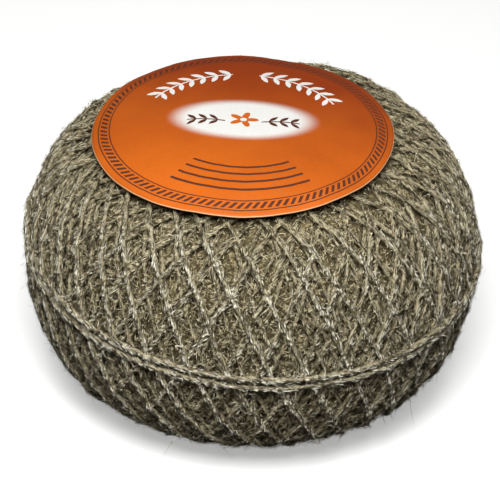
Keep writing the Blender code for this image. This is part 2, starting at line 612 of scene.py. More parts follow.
@dataclass(frozen=True)
class Garland:
    """Pointed leaves in pairs on a stem that follows an arc over the oval.

    The circle is cut into cells, and a cell has one leaf on each side of the stem. The garland takes the
    cells from first up to last, counted both ways from the top.
    """

    radius: float = 22.5
    cells: int = 46
    first: int = 1
    last: int = 8
    lean: float = math.radians(48)
    leaf_out: float = 1.35
    leaf_half_length: float = 1.75
    leaf_half_width: float = 0.62
    stem_half_width: float = 0.20

    def mask(self, spot: Spot) -> Shade:
        """Where the garland is printed.

        A leaf's long axis climbs away from the stem, and its half-width falls from the middle to both
        ends as a parabola.

        Args:
            spot: the place on the label.

        Returns:
            One on the leaves and the stem, else zero.
        """
        around = abs(spot.x.angle_from(spot.y))
        off = abs(spot.radius - self.radius)
        cell = TURN * self.radius / self.cells
        beside = ((around * (self.cells / TURN)).fraction() - 0.5) * cell
        out = off - self.leaf_out
        along = (out * math.sin(self.lean) + beside * math.cos(self.lean)) / self.leaf_half_length
        across = beside * math.sin(self.lean) - out * math.cos(self.lean)
        leaf = abs(across).below((1 - along * along) * self.leaf_half_width)
        garland = leaf.most(off.below(self.stem_half_width))
        first, last = (count * TURN / self.cells for count in (self.first, self.last))
        return garland * around.above(first) * around.below(last)


@dataclass(frozen=True)
class FlowerOval:
    """A soft pale oval with a five-petalled flower and a spray of narrow leaves to each side of it."""

    centre: Range = (0.0, 1.5)
    half_axes: Range = (16.5, 9.0)
    soft_edge: Range = (0.72, 1.06)
    petals: int = 5
    petal_length: float = 3.4
    petal_notch: float = 0.62
    heart_radius: float = 0.75
    spray_drop: float = 0.4
    spray_bend: float = 0.028
    spray_middle: float = 8.0
    stem_middle: float = 8.2
    stem_reach: float = 4.2
    stem_half_width: float = 0.22
    leaf_places: tuple[float, ...] = (6.6, 9.0, 11.4)
    leaf_rise: float = 1.15
    leaf_lean: float = 0.80
    leaf_half_length: float = 1.45
    leaf_half_width: float = 0.50

    def ground(self, spot: Spot) -> Shade:
        """The oval, from one in its middle to zero past its soft edge.

        Args:
            spot: the place on the label.

        Returns:
            The oval's share.
        """
        across = (spot.x - self.centre[0]) / self.half_axes[0]
        up = (spot.y - self.centre[1]) / self.half_axes[1]
        return 1 - (across * across + up * up).root().ramp(*self.soft_edge)

    def flower(self, spot: Spot) -> Shade:
        """Round petals about the oval's middle, with a gap at the heart.

        A petal's length falls with the square of the sine of half as many turns as there are petals.

        Args:
            spot: the place on the label.

        Returns:
            One on the petals, else zero.
        """
        x, y = spot.x - self.centre[0], spot.y - self.centre[1]
        reach = (x * x + y * y).root()
        lobe = abs((y.angle_from(x) * (self.petals / 2)).sine())
        petal = reach.below((1 - lobe * lobe * self.petal_notch) * self.petal_length)
        return petal * reach.above(self.heart_radius)

    def sprays(self, spot: Spot) -> Shade:
        """Two bent stems, one to each side of the flower, with leaves over and under them.

        Args:
            spot: the place on the label.

        Returns:
            One on the stems and leaves, else zero.
        """
        side = abs(spot.x - self.centre[0])
        away = side - self.spray_middle
        rise = spot.y - self.centre[1] + self.spray_drop + away * away * self.spray_bend
        sprays = abs(rise).below(self.stem_half_width) * abs(side - self.stem_middle).below(self.stem_reach)
        for place in self.leaf_places:
            for way in (1, -1):
                sprays = sprays.most(self._leaf(side - place, rise - way * self.leaf_rise, way))
        return sprays

    def _leaf(self, x: Shade, y: Shade, way: int) -> Shade:
        """One pointed leaf, its half-width a parabola over its length.

        Args:
            x: how far the place is from the leaf's middle, away from the flower.
            y: how far it is above the leaf's middle.
            way: 1 for a leaf that leans upwards, -1 for one that leans downwards.

        Returns:
            One on the leaf, else zero.
        """
        cosine, sine = math.cos(way * self.leaf_lean), math.sin(way * self.leaf_lean)
        along = (x * cosine + y * sine) / self.leaf_half_length
        return abs(y * cosine - x * sine).below((1 - along * along) * self.leaf_half_width)


@dataclass(frozen=True)
class LabelFinish:
    """Printed paper: orange ground with painted shade towards the back, printed motifs and a bare cut edge.

    Creases are noises as (scale, detail, height in millimetres).
    """

    centre: tuple[float, float]
    radius: float
    orange: Colour = (0.450, 0.094, 0.006)
    # The orange that the painted shade and the random patches darken towards.
    deep_orange: Colour = (0.215, 0.030, 0.003)
    ink: Colour = (0.070, 0.022, 0.012)
    cream: Colour = (0.600, 0.590, 0.560)
    paper: Colour = (0.560, 0.330, 0.170)
    edge_width: float = 0.12
    shade_slant: float = 0.25
    shade_range: Range = (-0.8, 1.2)
    patch_scale: float = 0.05
    patch_range: Range = (0.35, 0.70)
    patch_share: float = 0.20
    grain_scale: float = 2.2
    grain_share: float = 0.14
    grain_height: float = 0.03
    creases: tuple[tuple[float, float, float], ...] = ((0.35, 2.0, 0.07), (0.07, 1.0, 0.9))
    border: RopeBorder = RopeBorder()
    arcs: RuledArcs = RuledArcs()
    garland: Garland = Garland()
    oval: FlowerOval = FlowerOval()

    def dye(self) -> bpy.types.Material:
        """Builds the material from the place on the label, in millimetres from its centre.

        Returns:
            The material.
        """
        dye = Dye("printed_label")
        place = dye.place()
        x, y = dye.part(place, "X") - self.centre[0], dye.part(place, "Y") - self.centre[1]
        spot = Spot(x, y, (x * x + y * y).root())
        fine = dye.noise(place, self.grain_scale, 3.0)
        broad = dye.noise(place, self.patch_scale, 2.0)

        # Painted shade: the orange darkens towards the back and right; random patches are added to it.
        shade_and_patches = ((y + x * self.shade_slant) / self.radius).ramp(*self.shade_range)
        shade_and_patches = broad.ramp(*self.patch_range) * self.patch_share + shade_and_patches
        colour = dye.mix(shade_and_patches, self.orange, self.deep_orange)
        colour = dye.mix(self.oval.ground(spot).most(self.garland.mask(spot)), colour, self.cream)
        colour = dye.mix(self.oval.flower(spot), colour, self.orange)
        ink = self.border.mask(spot).most(self.arcs.mask(spot)).most(self.oval.sprays(spot))
        colour = dye.mix(ink, colour, self.ink)
        colour = dye.mix(spot.radius.above(self.radius - self.edge_width), colour, self.paper)
        colour = dye.mix(self.grain_share, colour, dye.grey(fine), "OVERLAY")

        dye.set("Base Color", colour)
        dye.set("Roughness", 0.50 + fine * 0.14)
        dye.set("Coat Weight", 0.05 - broad * 0.03)
        dye.set("Coat Roughness", 0.35)
        dye.set("Specular IOR Level", 0.18)
        relief = fine * self.grain_height
        for scale, detail, height in self.creases:
            relief = relief + dye.noise(place, scale, detail) * height
        dye.bump(relief, 1.0)
        return dye.material


@dataclass(frozen=True)
class FloorFinish:
    """Pale studio paper, with a faint unevenness."""

    tone: Colour = (0.80, 0.80, 0.79)
    low_share: float = 0.97
    glow: float = 0.50

    def dye(self) -> bpy.types.Material:
        """Builds the material.

        Returns:
            The material.
        """
        dye = Dye("studio_floor")
        shade = dye.noise(dye.place(), 0.01, 2.0)
        low = tuple(value * self.low_share for value in self.tone)
        dye.set("Base Color", dye.mix(shade, self.tone, low))
        dye.set("Roughness", 0.9 - shade * 0.05)
        dye.set("Emission Color", (*self.tone, 1.0))
        dye.set("Emission Strength", self.glow)
        return dye.material


# ---------------------------------------------------------------------------------------------------
# Mesh and number helpers
# ---------------------------------------------------------------------------------------------------


def make_piece(
    name: str,
    points: np.ndarray,
    faces: list[np.ndarray],
    material: bpy.types.Material,
    uv: list[np.ndarray] | None = None,
    depth: np.ndarray | None = None,
) -> bpy.types.Object:
    """Makes a smooth mesh object whose place is in its points.

    Args:
        name: the piece's name.
        points: (n, 3) points in millimetres.
        faces: (m, k) arrays of point numbers, each with its own k.
        material: the finish.
        uv: for each array of faces, its (m, k, 2) UV.
        depth: for each point, millimetres under the ball's outer surface.

    Returns:
        The object.
    """
    mesh = bpy.data.meshes.new(name)
    sizes = np.concatenate([np.full(len(group), group.shape[1]) for group in faces])
    loops = np.concatenate([group.reshape(-1) for group in faces]).astype(np.int32)
    mesh.vertices.add(len(points))
    mesh.vertices.foreach_set("co", (points * METRES).astype(np.float32).reshape(-1))
    mesh.loops.add(len(loops))
    mesh.loops.foreach_set("vertex_index", loops)
    mesh.polygons.add(len(sizes))
    starts = np.concatenate([[0], np.cumsum(sizes)[:-1]]).astype(np.int32)
    mesh.polygons.foreach_set("loop_start", starts)
    mesh.update(calc_edges=True)
    if uv is not None:
        flat = np.concatenate([part.reshape(-1) for part in uv]).astype(np.float32)
        mesh.uv_layers.new(name="strand").data.foreach_set("uv", flat)
    if depth is not None:
        mesh.attributes.new(DEPTH, "FLOAT", "POINT").data.foreach_set("value", depth.astype(np.float32))
    mesh.materials.append(material)
    mesh.shade_smooth()
    mesh.validate()
    piece = bpy.data.objects.new(name, mesh)
    bpy.context.scene.collection.objects.link(piece)
    return piece


def smooth_noise(along: np.ndarray, wavelength: float, rng: np.random.Generator) -> np.ndarray:
    """Noise of mean 0 and deviation near 1 along a line: random knots joined by cosine curves.

    Args:
        along: places on the line, rising.
        wavelength: the distance between knots.
        rng: the source of the knots.

    Returns:
        The noise at each place.
    """
    place = (along - along[0]) / wavelength
    knots = rng.normal(size=int(place[-1]) + 3)
    index = place.astype(int)
    share = 0.5 - 0.5 * np.cos(math.pi * (place - index))
    return knots[index] * (1 - share) + knots[index + 1] * share


def wandering(
    along: np.ndarray, waves: tuple[Range, ...], rng: np.random.Generator, base: float = 0.0
) -> np.ndarray:
    """A number that wanders along a line, by several smooth noises.

    Args:
        along: places on the line, rising.
        waves: (size, wavelength) of each noise.
        rng: the source of their knots.
        base: the number it wanders about.

    Returns:
        The number at each place.
    """
    return sum((size * smooth_noise(along, wavelength, rng) for size, wavelength in waves), base)


def smoothed(row: np.ndarray, width: int, **ends: str) -> np.ndarray:
    """Averages a row with a bell-shaped weight.

    Args:
        row: the values.
        width: how many places the weight covers, an odd number.
        ends: how the row goes on past its ends, as np.pad takes it.

    Returns:
        A row of the same length.
    """
    kernel = np.hanning(width)
    return np.convolve(np.pad(row, width // 2, **ends), kernel / kernel.sum(), mode="valid")


def weave(height: float, angle: np.ndarray, along: np.ndarray, pitch: float) -> np.ndarray:
    """Crossed waves: height * sin(waves * angle + along * pitch) * sin(waves * angle - along * pitch).

    Args:
        height: their height in millimetres, up and down.
        angle: angles round the axis.
        along: millimetres away from the middle or the pole.
        pitch: radians for each of those.

    Returns:
        The height at each place.
    """
    turn, climb = WEAVE_WAVES * angle, along * pitch
    return height * np.sin(turn + climb) * np.sin(turn - climb)


# ---------------------------------------------------------------------------------------------------
# The ball's form
# ---------------------------------------------------------------------------------------------------


@dataclass
class BallForm:
    """Outer form of the winding: a superellipse turned about the axis, with one hump on its far shoulder.

    (r / radius) ** side_power + (z / half_height) ** end_power = 1. A place on it is an angle round the
    axis and an arc, the millimetres along the profile from the middle, positive upwards. The middle stands
    half_height over the floor. The hump's spread is in radians round the axis and in millimetres of arc.
    Near the axis, the circle that a place lies on counts as no smaller than the least circle.
    """

    axis: tuple[float, float]
    radius: float
    half_height: float
    side_power: float = 4.69
    end_power: float = 1.914
    hump_height: float = 1.5
    hump_angle: float = math.radians(57)
    hump_arc: float = 37.0
    hump_spread: Range = (math.radians(15), 9.0)
    profile_places: int = 3000
    even_places: int = 1201
    lean_smoothing: int = 41
    least_circle: float = 4.0

    def __post_init__(self) -> None:
        """Tabulates the profile, its lean and how fast that bends.

        The places are close together near the pole, where the profile is flat: the turn to each is
        (1 - (1 - share) ** 3) of a right angle.
        """
        share = 1 - (1 - np.linspace(0, 1, self.profile_places)) ** 3
        turn = share * (math.pi / 2)
        r = self.radius * np.cos(turn).clip(0) ** (2 / self.side_power)
        z = self.half_height * np.sin(turn) ** (2 / self.end_power)
        r[-1] = 0.0
        arc = np.concatenate([[0], np.cumsum(np.hypot(np.diff(r), np.diff(z)))])
        self.reach = float(arc[-1])
        self._arc = np.concatenate([-arc[:0:-1], arc])
        self._r = np.concatenate([r[:0:-1], r])
        self._z = np.concatenate([-z[:0:-1], z])
        self._even = even = np.linspace(-self.reach, self.reach, self.even_places)
        r_slope, z_slope = (np.gradient(np.interp(even, self._arc, row), even) for row in (self._r, self._z))
        lean = np.unwrap(np.arctan2(-r_slope, z_slope))
        self._lean = smoothed(lean, self.lean_smoothing, mode="reflect", reflect_type="odd")
        self._bend = np.gradient(self._lean, even)

    def r(self, arc: np.ndarray) -> np.ndarray:
        """Distance from the axis."""
        return np.interp(arc, self._arc, self._r)

    def normal(self, angle: np.ndarray, arc: np.ndarray) -> np.ndarray:
        """Outward unit normals.

        Args:
            angle: angles round the axis.
            arc: arcs from the middle.

        Returns:
            (..., 3) normals of the form without its hump.
        """
        lean = np.interp(arc, self._even, self._lean)
        side = np.cos(lean)
        return np.stack([side * np.cos(angle), side * np.sin(angle), np.sin(lean)], axis=-1)

    def hump(self, angle: np.ndarray, arc: np.ndarray) -> np.ndarray:
        """Height of the hump: a bell curve over the angle times one over the arc.

        Args:
            angle: angles round the axis.
            arc: arcs from the middle.

        Returns:
            Millimetres over the form.
        """
        turn = np.angle(np.exp(1j * (angle - self.hump_angle))) / self.hump_spread[0]
        climb = (arc - self.hump_arc) / self.hump_spread[1]
        return self.hump_height * np.exp(-0.5 * (turn**2 + climb**2))

    def points(self, angle: np.ndarray, arc: np.ndarray, height: np.ndarray | float) -> np.ndarray:
        """Places at a height over the form and its hump, along the normal.

        Args:
            angle: angles round the axis.
            arc: arcs from the middle.
            height: millimetres over the form, negative under it.

        Returns:
            (..., 3) places.
        """
        r = self.r(arc)
        z = np.interp(arc, self._arc, self._z) + self.half_height
        flat = np.stack([self.axis[0] + r * np.cos(angle), self.axis[1] + r * np.sin(angle), z], axis=-1)
        return flat + self.normal(angle, arc) * (height + self.hump(angle, arc))[..., None]

    def curvature(self, arc: np.ndarray, slope: np.ndarray) -> np.ndarray:
        """How fast the form falls away under a line that climbs at an angle from level.

        Args:
            arc: the places.
            slope: the line's angle from level, in radians.

        Returns:
            Curvature in 1/mm: the profile's along the climb, the circle's across it.
        """
        lean = np.interp(arc, self._even, self._lean)
        profile = np.interp(arc, self._even, self._bend)
        circle = np.cos(lean) / self.r(arc).clip(self.least_circle)
        return profile * np.sin(slope) ** 2 + circle * np.cos(slope) ** 2

    def crown(self, distance: np.ndarray) -> np.ndarray:
        """Height over the floor of the upper side, at a distance from the axis."""
        share = 1 - (distance / self.radius) ** self.side_power
        return self.half_height * (1 + share.clip(0) ** (1 / self.end_power))


@dataclass
class HeightMap:
    """Height of the wound surface over the form, on one round map for each half of the ball.

    A map is centred on a pole, and a place's distance from the map's centre is its arc from that pole. A
    map reaches a little past the ball's middle, by the overlap. It starts level, at the start height.
    """

    form: BallForm
    start: float
    cell: float = 0.4
    overlap: float = 16.0
    edge_cells: int = 3

    def __post_init__(self) -> None:
        """Starts with a level surface."""
        self.middle = int((self.form.reach + self.overlap) / self.cell) + self.edge_cells
        self.maps = np.full((2, 2 * self.middle + 1, 2 * self.middle + 1), self.start)

    def _cells(self, half: int, angle: np.ndarray, arc: np.ndarray) -> tuple[np.ndarray, np.ndarray]:
        """Finds the cells of places on one half's map.

        Args:
            half: 0 for the lower half, 1 for the upper.
            angle: angles round the axis.
            arc: arcs from the middle.

        Returns:
            Their rows and columns.
        """
        distance = (self.form.reach + (arc if half == 0 else -arc)) / self.cell
        row = np.rint(self.middle + distance * np.sin(angle)).astype(int)
        column = np.rint(self.middle + distance * np.cos(angle)).astype(int)
        return row, column

    def read(self, angle: np.ndarray, arc: np.ndarray) -> np.ndarray:
        """Reads the surface.

        Args:
            angle: angles round the axis.
            arc: arcs from the middle.

        Returns:
            Height at each place.
        """
        lower = self.maps[0][self._cells(0, angle, arc.clip(None, 0))]
        upper = self.maps[1][self._cells(1, angle, arc.clip(0, None))]
        return np.where(arc < 0, lower, upper)

    def raise_to(self, angle: np.ndarray, arc: np.ndarray, height: np.ndarray) -> None:
        """Raises the surface where it is lower than a height.

        Args:
            angle: angles round the axis.
            arc: arcs from the middle.
            height: the height at each place.
        """
        for half, sign in ((0, -1), (1, 1)):
            near = arc * sign > -self.overlap
            row, column = self._cells(half, angle[near], arc[near])
            np.maximum.at(self.maps[half], (row, column), height[near])

    def envelope(self, spread: float = 2.8, blur: float = 5.0) -> HeightMap:
        """The level of the ridges, without the gaps between them.

        Each cell takes the highest value within spread, and the wound cells are then averaged with a
        Gaussian weight of deviation blur, worked out with Fourier transforms.

        Args:
            spread: millimetres, wider than half of a gap.
            blur: millimetres.

        Returns:
            A height map of that level.
        """
        result = HeightMap(self.form, self.start, self.cell, self.overlap)
        size = self.maps.shape[1]
        wave = np.fft.fftfreq(size) ** 2
        wave = wave[:, None] + wave[None, : size // 2 + 1]
        weight = np.exp(-2 * (math.pi * blur / self.cell) ** 2 * wave)
        for half, level in enumerate(self.maps):
            high = level.copy()
            for _ in range(round(spread / self.cell)):
                for axis in (0, 1):
                    high = np.maximum(high, np.maximum(np.roll(high, 1, axis), np.roll(high, -1, axis)))
            wound = (high > self.start + 0.01).astype(float)
            total = np.fft.irfft2(np.fft.rfft2((high - self.start) * wound) * weight, high.shape)
            share = np.fft.irfft2(np.fft.rfft2(wound) * weight, high.shape)
            result.maps[half] = self.start + total / share.clip(0.02)
        return result


# ---------------------------------------------------------------------------------------------------
# Strands
# ---------------------------------------------------------------------------------------------------


@dataclass
class Strand:
    """A length of twine as places on the form: angle, arc, run along it, and height of its centre."""

    angle: np.ndarray
    arc: np.ndarray
    run: np.ndarray
    height: np.ndarray = field(default_factory=lambda: np.zeros(0))

    def _steps(self, form: BallForm) -> tuple[np.ndarray, np.ndarray]:
        """Climb and level step at each place."""
        return np.gradient(self.arc), np.gradient(self.angle) * form.r(self.arc)

    def slope(self, form: BallForm) -> np.ndarray:
        """Angle from level at each place."""
        climb, level = self._steps(form)
        return np.arctan2(np.abs(climb), np.abs(level))

    def across(self, form: BallForm, offset: np.ndarray | float) -> tuple[np.ndarray, np.ndarray]:
        """Places beside the strand.

        Args:
            form: the ball's form.
            offset: millimetres across the strand, on the form.

        Returns:
            Their angles and arcs.
        """
        climb, level = self._steps(form)
        length = np.hypot(climb, level)
        angle = self.angle - offset * climb / length / form.r(self.arc)
        return angle, self.arc + offset * level / length

    def resampled(self, run: np.ndarray) -> Strand:
        """The strand at other places along its run."""
        angle, arc, height = (np.interp(run, self.run, row) for row in (self.angle, self.arc, self.height))
        return Strand(angle, arc, run, height)

    def frame(self, form: BallForm) -> tuple[np.ndarray, np.ndarray, np.ndarray, np.ndarray]:
        """Works out the strand's directions.

        Args:
            form: the ball's form.

        Returns:
            Centre, tangent, outward normal and side direction at each place, (n, 3) each.
        """
        centre = form.points(self.angle, self.arc, self.height)
        tangent = np.gradient(centre, axis=0)
        tangent /= np.linalg.norm(tangent, axis=1, keepdims=True)
        normal = form.normal(self.angle, self.arc)
        normal -= (normal * tangent).sum(axis=1, keepdims=True) * tangent
        normal /= np.linalg.norm(normal, axis=1, keepdims=True)
        return centre, tangent, normal, np.cross(tangent, normal)


@dataclass
class Layer:
    """Winder's rule for laying a strand on what is already wound.

    Squash is how much of its round section a strand keeps over what it lies on. The support is read at
    several lines across the strand, and straightened in a number of rounds.
    """

    form: BallForm
    surface: HeightMap
    strand_radius: float
    squash: float = 0.46
    lines_across: int = 7
    rounds: int = 150
    smoothing: int = 7

    def lay(self, strand: Strand, start: float | None = None) -> None:
        """Finds the strand's height and raises the surface under it.

        The strand rests on the highest point across its width. Between such points it runs straight,
        so over the form its height bends upwards by no more than the form's own curvature.

        Args:
            strand: the strand, whose height is set.
            start: the height its first place has to have at least.
        """
        offsets = np.linspace(-1, 1, self.lines_across) * self.strand_radius
        bulge = self.squash * np.sqrt((self.strand_radius**2 - offsets**2).clip(0))
        support = np.full(len(strand.angle), -np.inf)
        beside = [strand.across(self.form, offset) for offset in offsets]
        for (angle, arc), rise in zip(beside, bulge):
            support = np.maximum(support, self.surface.read(angle, arc) + rise)
        if start is not None:
            support[0] = max(support[0], start)
        step = float(np.mean(np.diff(strand.run)))
        drop = 0.5 * step**2 * self.form.curvature(strand.arc, strand.slope(self.form))
        height = support.copy()
        for _ in range(self.rounds):
            height[1:-1] = np.maximum(support[1:-1], 0.5 * (height[:-2] + height[2:]) - drop[1:-1])
        strand.height = smoothed(height, self.smoothing, mode="edge")
        for (angle, arc), rise in zip(beside, bulge):
            self.surface.raise_to(angle, arc, strand.height + rise)


@dataclass
class Twine:
    """Twine as a mesh: plies twisted to the right, thick and thin places, both ends closed.

    Waist is the section's narrow half-width as a share of its wide one. Flank is how much faster than it
    really does the surface gets deeper down a strand's flanks, as the finish reads it, so that only the
    ridge stays pale and the flanks take fuzz and painted shade. Slubs and twist waves are (size,
    wavelength) pairs.
    """

    form: BallForm
    radius: float = 0.62
    twist_length: float = 7.2
    waist: float = 0.87
    waist_power: float = 1.4
    flank: float = 4.6
    slubs: tuple[Range, ...] = ((0.075, 9.0), (0.05, 2.3))
    slub_limits: Range = (0.72, 1.3)
    twist_waves: tuple[Range, ...] = ((0.5, 17.0),)
    floor_gap: float = 0.02

    def section(self, sides: int) -> np.ndarray:
        """Relative radius at each corner of the cross-section, a two-ply waisted oval."""
        turn = TURN * np.arange(sides) / sides
        return 1 - (1 - self.waist) * (0.5 - 0.5 * np.cos(2 * turn)) ** self.waist_power

    def mesh(
        self,
        name: str,
        strand: Strand,
        sides: int,
        material: bpy.types.Material,
        seed: int,
        matting: float = 0.0,
    ) -> bpy.types.Object:
        """Sweeps the cross-section along a strand.

        A corner lies at centre + radius * (cos(turn) * normal + sin(turn) * side), where turn grows by a
        full turn in each twist length, so the mesh's own lines follow the plies.

        Args:
            name: the piece's name.
            strand: the strand, sampled at its final rings.
            sides: corners in the cross-section.
            material: the finish.
            seed: seed of the thick and thin places.
            matting: millimetres added to the depth that the finish reads, so that it paints the strand
                darker and more matted, as it does deeper strands.

        Returns:
            The piece.
        """
        corners, along, depth = self._rings(strand, sides, np.random.default_rng(seed))
        rings = len(corners)
        ring = np.arange(sides)
        beside = (ring + 1) % sides
        start = np.arange(rings - 1)[:, None] * sides
        first, after = start + ring, start + beside
        quads = np.stack([first, after, after + sides, first + sides], axis=-1).reshape(-1, 4)
        here = ring / sides + np.zeros((rings - 1, 1))
        there = here + 1 / sides
        before, behind = along[:-1, None] + 0 * here, along[1:, None] + 0 * here
        corner_uv = [(here, before), (there, before), (there, behind), (here, behind)]
        quad_uv = np.stack([np.stack(pair, axis=-1) for pair in corner_uv], axis=2).reshape(-1, 4, 2)

        total = rings * sides
        last = total - sides
        head = np.stack([beside, ring, np.full(sides, total)], axis=-1)
        tail = np.stack([ring + last, beside + last, np.full(sides, total + 1)], axis=-1)
        cap_uv = [np.full((sides, 3, 2), end) for end in along[[0, -1]]]
        points = np.concatenate([corners.reshape(-1, 3), corners[[0, -1]].mean(axis=1)])
        depths = np.concatenate([depth.reshape(-1), depth[[0, -1]].mean(axis=1)]) + matting
        faces, uv = [quads, np.concatenate([head, tail])], [quad_uv, np.concatenate(cap_uv)]
        return make_piece(name, points, faces, material, uv, depths)

    def _rings(
        self, strand: Strand, sides: int, rng: np.random.Generator
    ) -> tuple[np.ndarray, np.ndarray, np.ndarray]:
        """Works out the rings.

        Args:
            strand: the strand.
            sides: corners of a ring.
            rng: the source of the thick and thin places.

        Returns:
            Corners of each ring, each ring's place along the strand in centimetres, and each corner's
            depth under the ball's outer surface.
        """
        centre, _, normal, side = strand.frame(self.form)
        slub = wandering(strand.run, self.slubs, rng, 1.0)
        twist = TURN * strand.run / self.twist_length + wandering(strand.run, self.twist_waves, rng)
        turn = twist[:, None] + TURN * np.arange(sides)[None, :] / sides
        size = self.radius * slub.clip(*self.slub_limits)[:, None] * self.section(sides)[None, :]
        out = np.cos(turn)[..., None] * normal[:, None, :] + np.sin(turn)[..., None] * side[:, None, :]
        corners = centre[:, None, :] + size[..., None] * out
        corners[..., 2] = corners[..., 2].clip(self.floor_gap)
        # The flanks count as deeper than they are, so that the finish paints them with fuzz and painted
        # shade.
        depth = self.flank * size * (1 - np.cos(turn)) - strand.height[:, None] - size
        return corners, strand.run / CENTIMETRE, depth


# ---------------------------------------------------------------------------------------------------
# The winding
# ---------------------------------------------------------------------------------------------------


class Detail(Enum):
    """How finely a turn of the winding is meshed: ring step in millimetres, corners of a ring."""

    TOP = (1.12, 8)
    SECOND = (1.3, 6)
    THIRD = (1.8, 6)


@dataclass
class Winding:
    """The cross-wound body: loops over both ends, each a little further round than the last.

    A loop turns back at a ring round the axis at each end. The upper rings' radius drifts in and out from
    loop to loop, so that the ends stay flat. Wander is (size, wavelength) pairs. Label reach is the
    distance from the axis within which the label may lie, and hidden reach that within which it always
    does, where a strand gets fewer rings.
    """

    form: BallForm
    twine: Twine
    seed: int = 7
    mesh_seed: int = 20
    turns: int = 6
    loops_per_turn: float = 38.38
    side_angle: float = math.radians(67.0)
    last_pass_angle: float = math.radians(90.5)
    angle_scatter: float = math.radians(0.55)
    depth: float = 8.0
    step: float = 0.45
    ring_radius: float = 14.5
    ring_drift: float = 6.5
    ring_drift_loops: float = 23.7
    ring_scatter: float = 1.2
    ring_limits: Range = (7.0, 22.0)
    bottom_ring_share: Range = (0.85, 1.15)
    wander: tuple[Range, ...] = ((0.22, 14.0), (0.10, 5.0))
    calm_length: float = 12.0
    pole_gap: float = 2.0
    label_reach: float = 40.0
    covered_rise: float = 0.1
    hidden_reach: float = 24.0
    hidden_share: float = 0.45
    joint_smoothing: int = 9
    search_places: int = 4000
    quarter_steps: int = 500
    power_range: Range = (1.0, 9.0)
    power_halvings: int = 18
    strands: list[Strand] = field(default_factory=list)
    level: HeightMap | None = None

    def wind(self) -> HeightMap:
        """Lays all loops in order.

        Returns:
            The height map of the wound surface.
        """
        rng = np.random.default_rng(self.seed)
        surface = HeightMap(self.form, -self.depth)
        layer = Layer(self.form, surface, self.twine.radius)
        count = round(self.turns * self.loops_per_turn)
        gap = TURN / self.loops_per_turn
        sweep = (TURN + gap) / 4
        ring_at = self._turning_radii(count + 1, rng)
        top, run, height = ring_at[0], 0.0, None
        for loop in range(count):
            bottom, after = ring_at[loop] * rng.uniform(*self.bottom_ring_share), ring_at[loop + 1]
            angle = FRONT + self.last_pass_angle + (loop - count + 1) * (TURN + gap)
            angle += rng.normal() * self.angle_scatter
            strand = self._loop(angle, (top, bottom, after), sweep, run, rng)
            layer.lay(strand, height)
            self.strands.append(strand)
            top, run, height = after, float(strand.run[-1]), float(strand.height[-1])
        self.level = surface.envelope()
        for strand in self.strands:
            self.settle(strand)
        return surface

    def _turning_radii(self, count: int, rng: np.random.Generator) -> np.ndarray:
        """Radius of each loop's turning ring: a sine over the loops, with a little scatter."""
        drift = self.ring_radius + self.ring_drift * np.sin(np.arange(count) * TURN / self.ring_drift_loops)
        return (drift + rng.normal(size=count) * self.ring_scatter).clip(*self.ring_limits)

    def _quarter(self, turning: float, sweep: float) -> Strand:
        """A quarter of a loop, from the ball's middle to the ring where the strand turns back.

        Level reach c = r * cos(slope) falls from radius * cos(side_angle) on the side, called side_reach,
        to the ring's radius, called turning:
        c = turning + (side_reach - turning) * ((r - turning) / (radius - turning)) ** power. The power is
        found by halving, so that the quarter goes round the axis by the wanted angle.

        Args:
            turning: the turning ring's radius.
            sweep: how far the quarter goes round, in radians.

        Returns:
            The quarter, which starts at angle 0, arc 0 and run 0, without heights.
        """
        places = np.linspace(0, self.form.reach, self.search_places)
        end = float(np.interp(-turning, -self.form.r(places), places))
        share = (np.arange(self.quarter_steps) + 0.5) / self.quarter_steps
        arc = end * (1 - (1 - share) ** 2)
        step = 2 * end * (1 - share) / self.quarter_steps
        r = self.form.r(arc)
        low, high = self.power_range
        for _ in range(self.power_halvings):
            power = 0.5 * (low + high)
            rate, stretch = self._rates(turning, r, power)
            low, high = (power, high) if (rate * step).sum() > sweep else (low, power)
        gone = np.cumsum(rate * step)
        rows = (gone * (sweep / gone[-1]), arc, np.cumsum(stretch * step))
        return Strand(*(np.concatenate([[0], row]) for row in rows))

    def _rates(self, turning: float, r: np.ndarray, power: float) -> tuple[np.ndarray, np.ndarray]:
        """How a quarter goes on for each millimetre of arc.

        Args:
            turning: the turning ring's radius.
            r: distances from the axis.
            power: how the level reach falls towards the ring.

        Returns:
            Angle gone round, and run, for each millimetre of arc.
        """
        out = ((r - turning) / (self.form.radius - turning)).clip(0, 1)
        reach = turning + (self.form.radius * math.cos(self.side_angle) - turning) * out**power
        side = np.sqrt((r**2 - reach**2).clip(1e-6))
        return reach / (r * side), r / side

    def _loop(
        self,
        angle: float,
        rings: tuple[float, float, float],
        sweep: float,
        run: float,
        rng: np.random.Generator,
    ) -> Strand:
        """One loop: down one side, round the lower end, up the other side, to the upper turn.

        Args:
            angle: the angle at which it passes the middle on its way down.
            rings: radii of the turning rings it leaves, rounds and reaches.
            sweep: how far each quarter goes round.
            run: the run at its start.
            rng: the source of its wander.

        Returns:
            The loop, evenly sampled, without heights.
        """
        parts, gone, length = [], angle - sweep, run
        signs = ((1, -1), (-1, 1), (-1, -1), (1, 1))
        for (half, way), ring in zip(signs, (rings[0], rings[1], rings[1], rings[2])):
            quarter = self._quarter(ring, sweep)
            turn, arc, along = quarter.angle, quarter.arc, quarter.run
            if way < 0:
                turn, arc, along = turn[-1] - turn[::-1], arc[::-1], along[-1] - along[::-1]
            parts.append(np.stack([gone + turn, half * arc, length + along])[:, 1:])
            gone, length = gone + turn[-1], length + along[-1]
        return self._even(np.concatenate(parts, axis=1), rng)

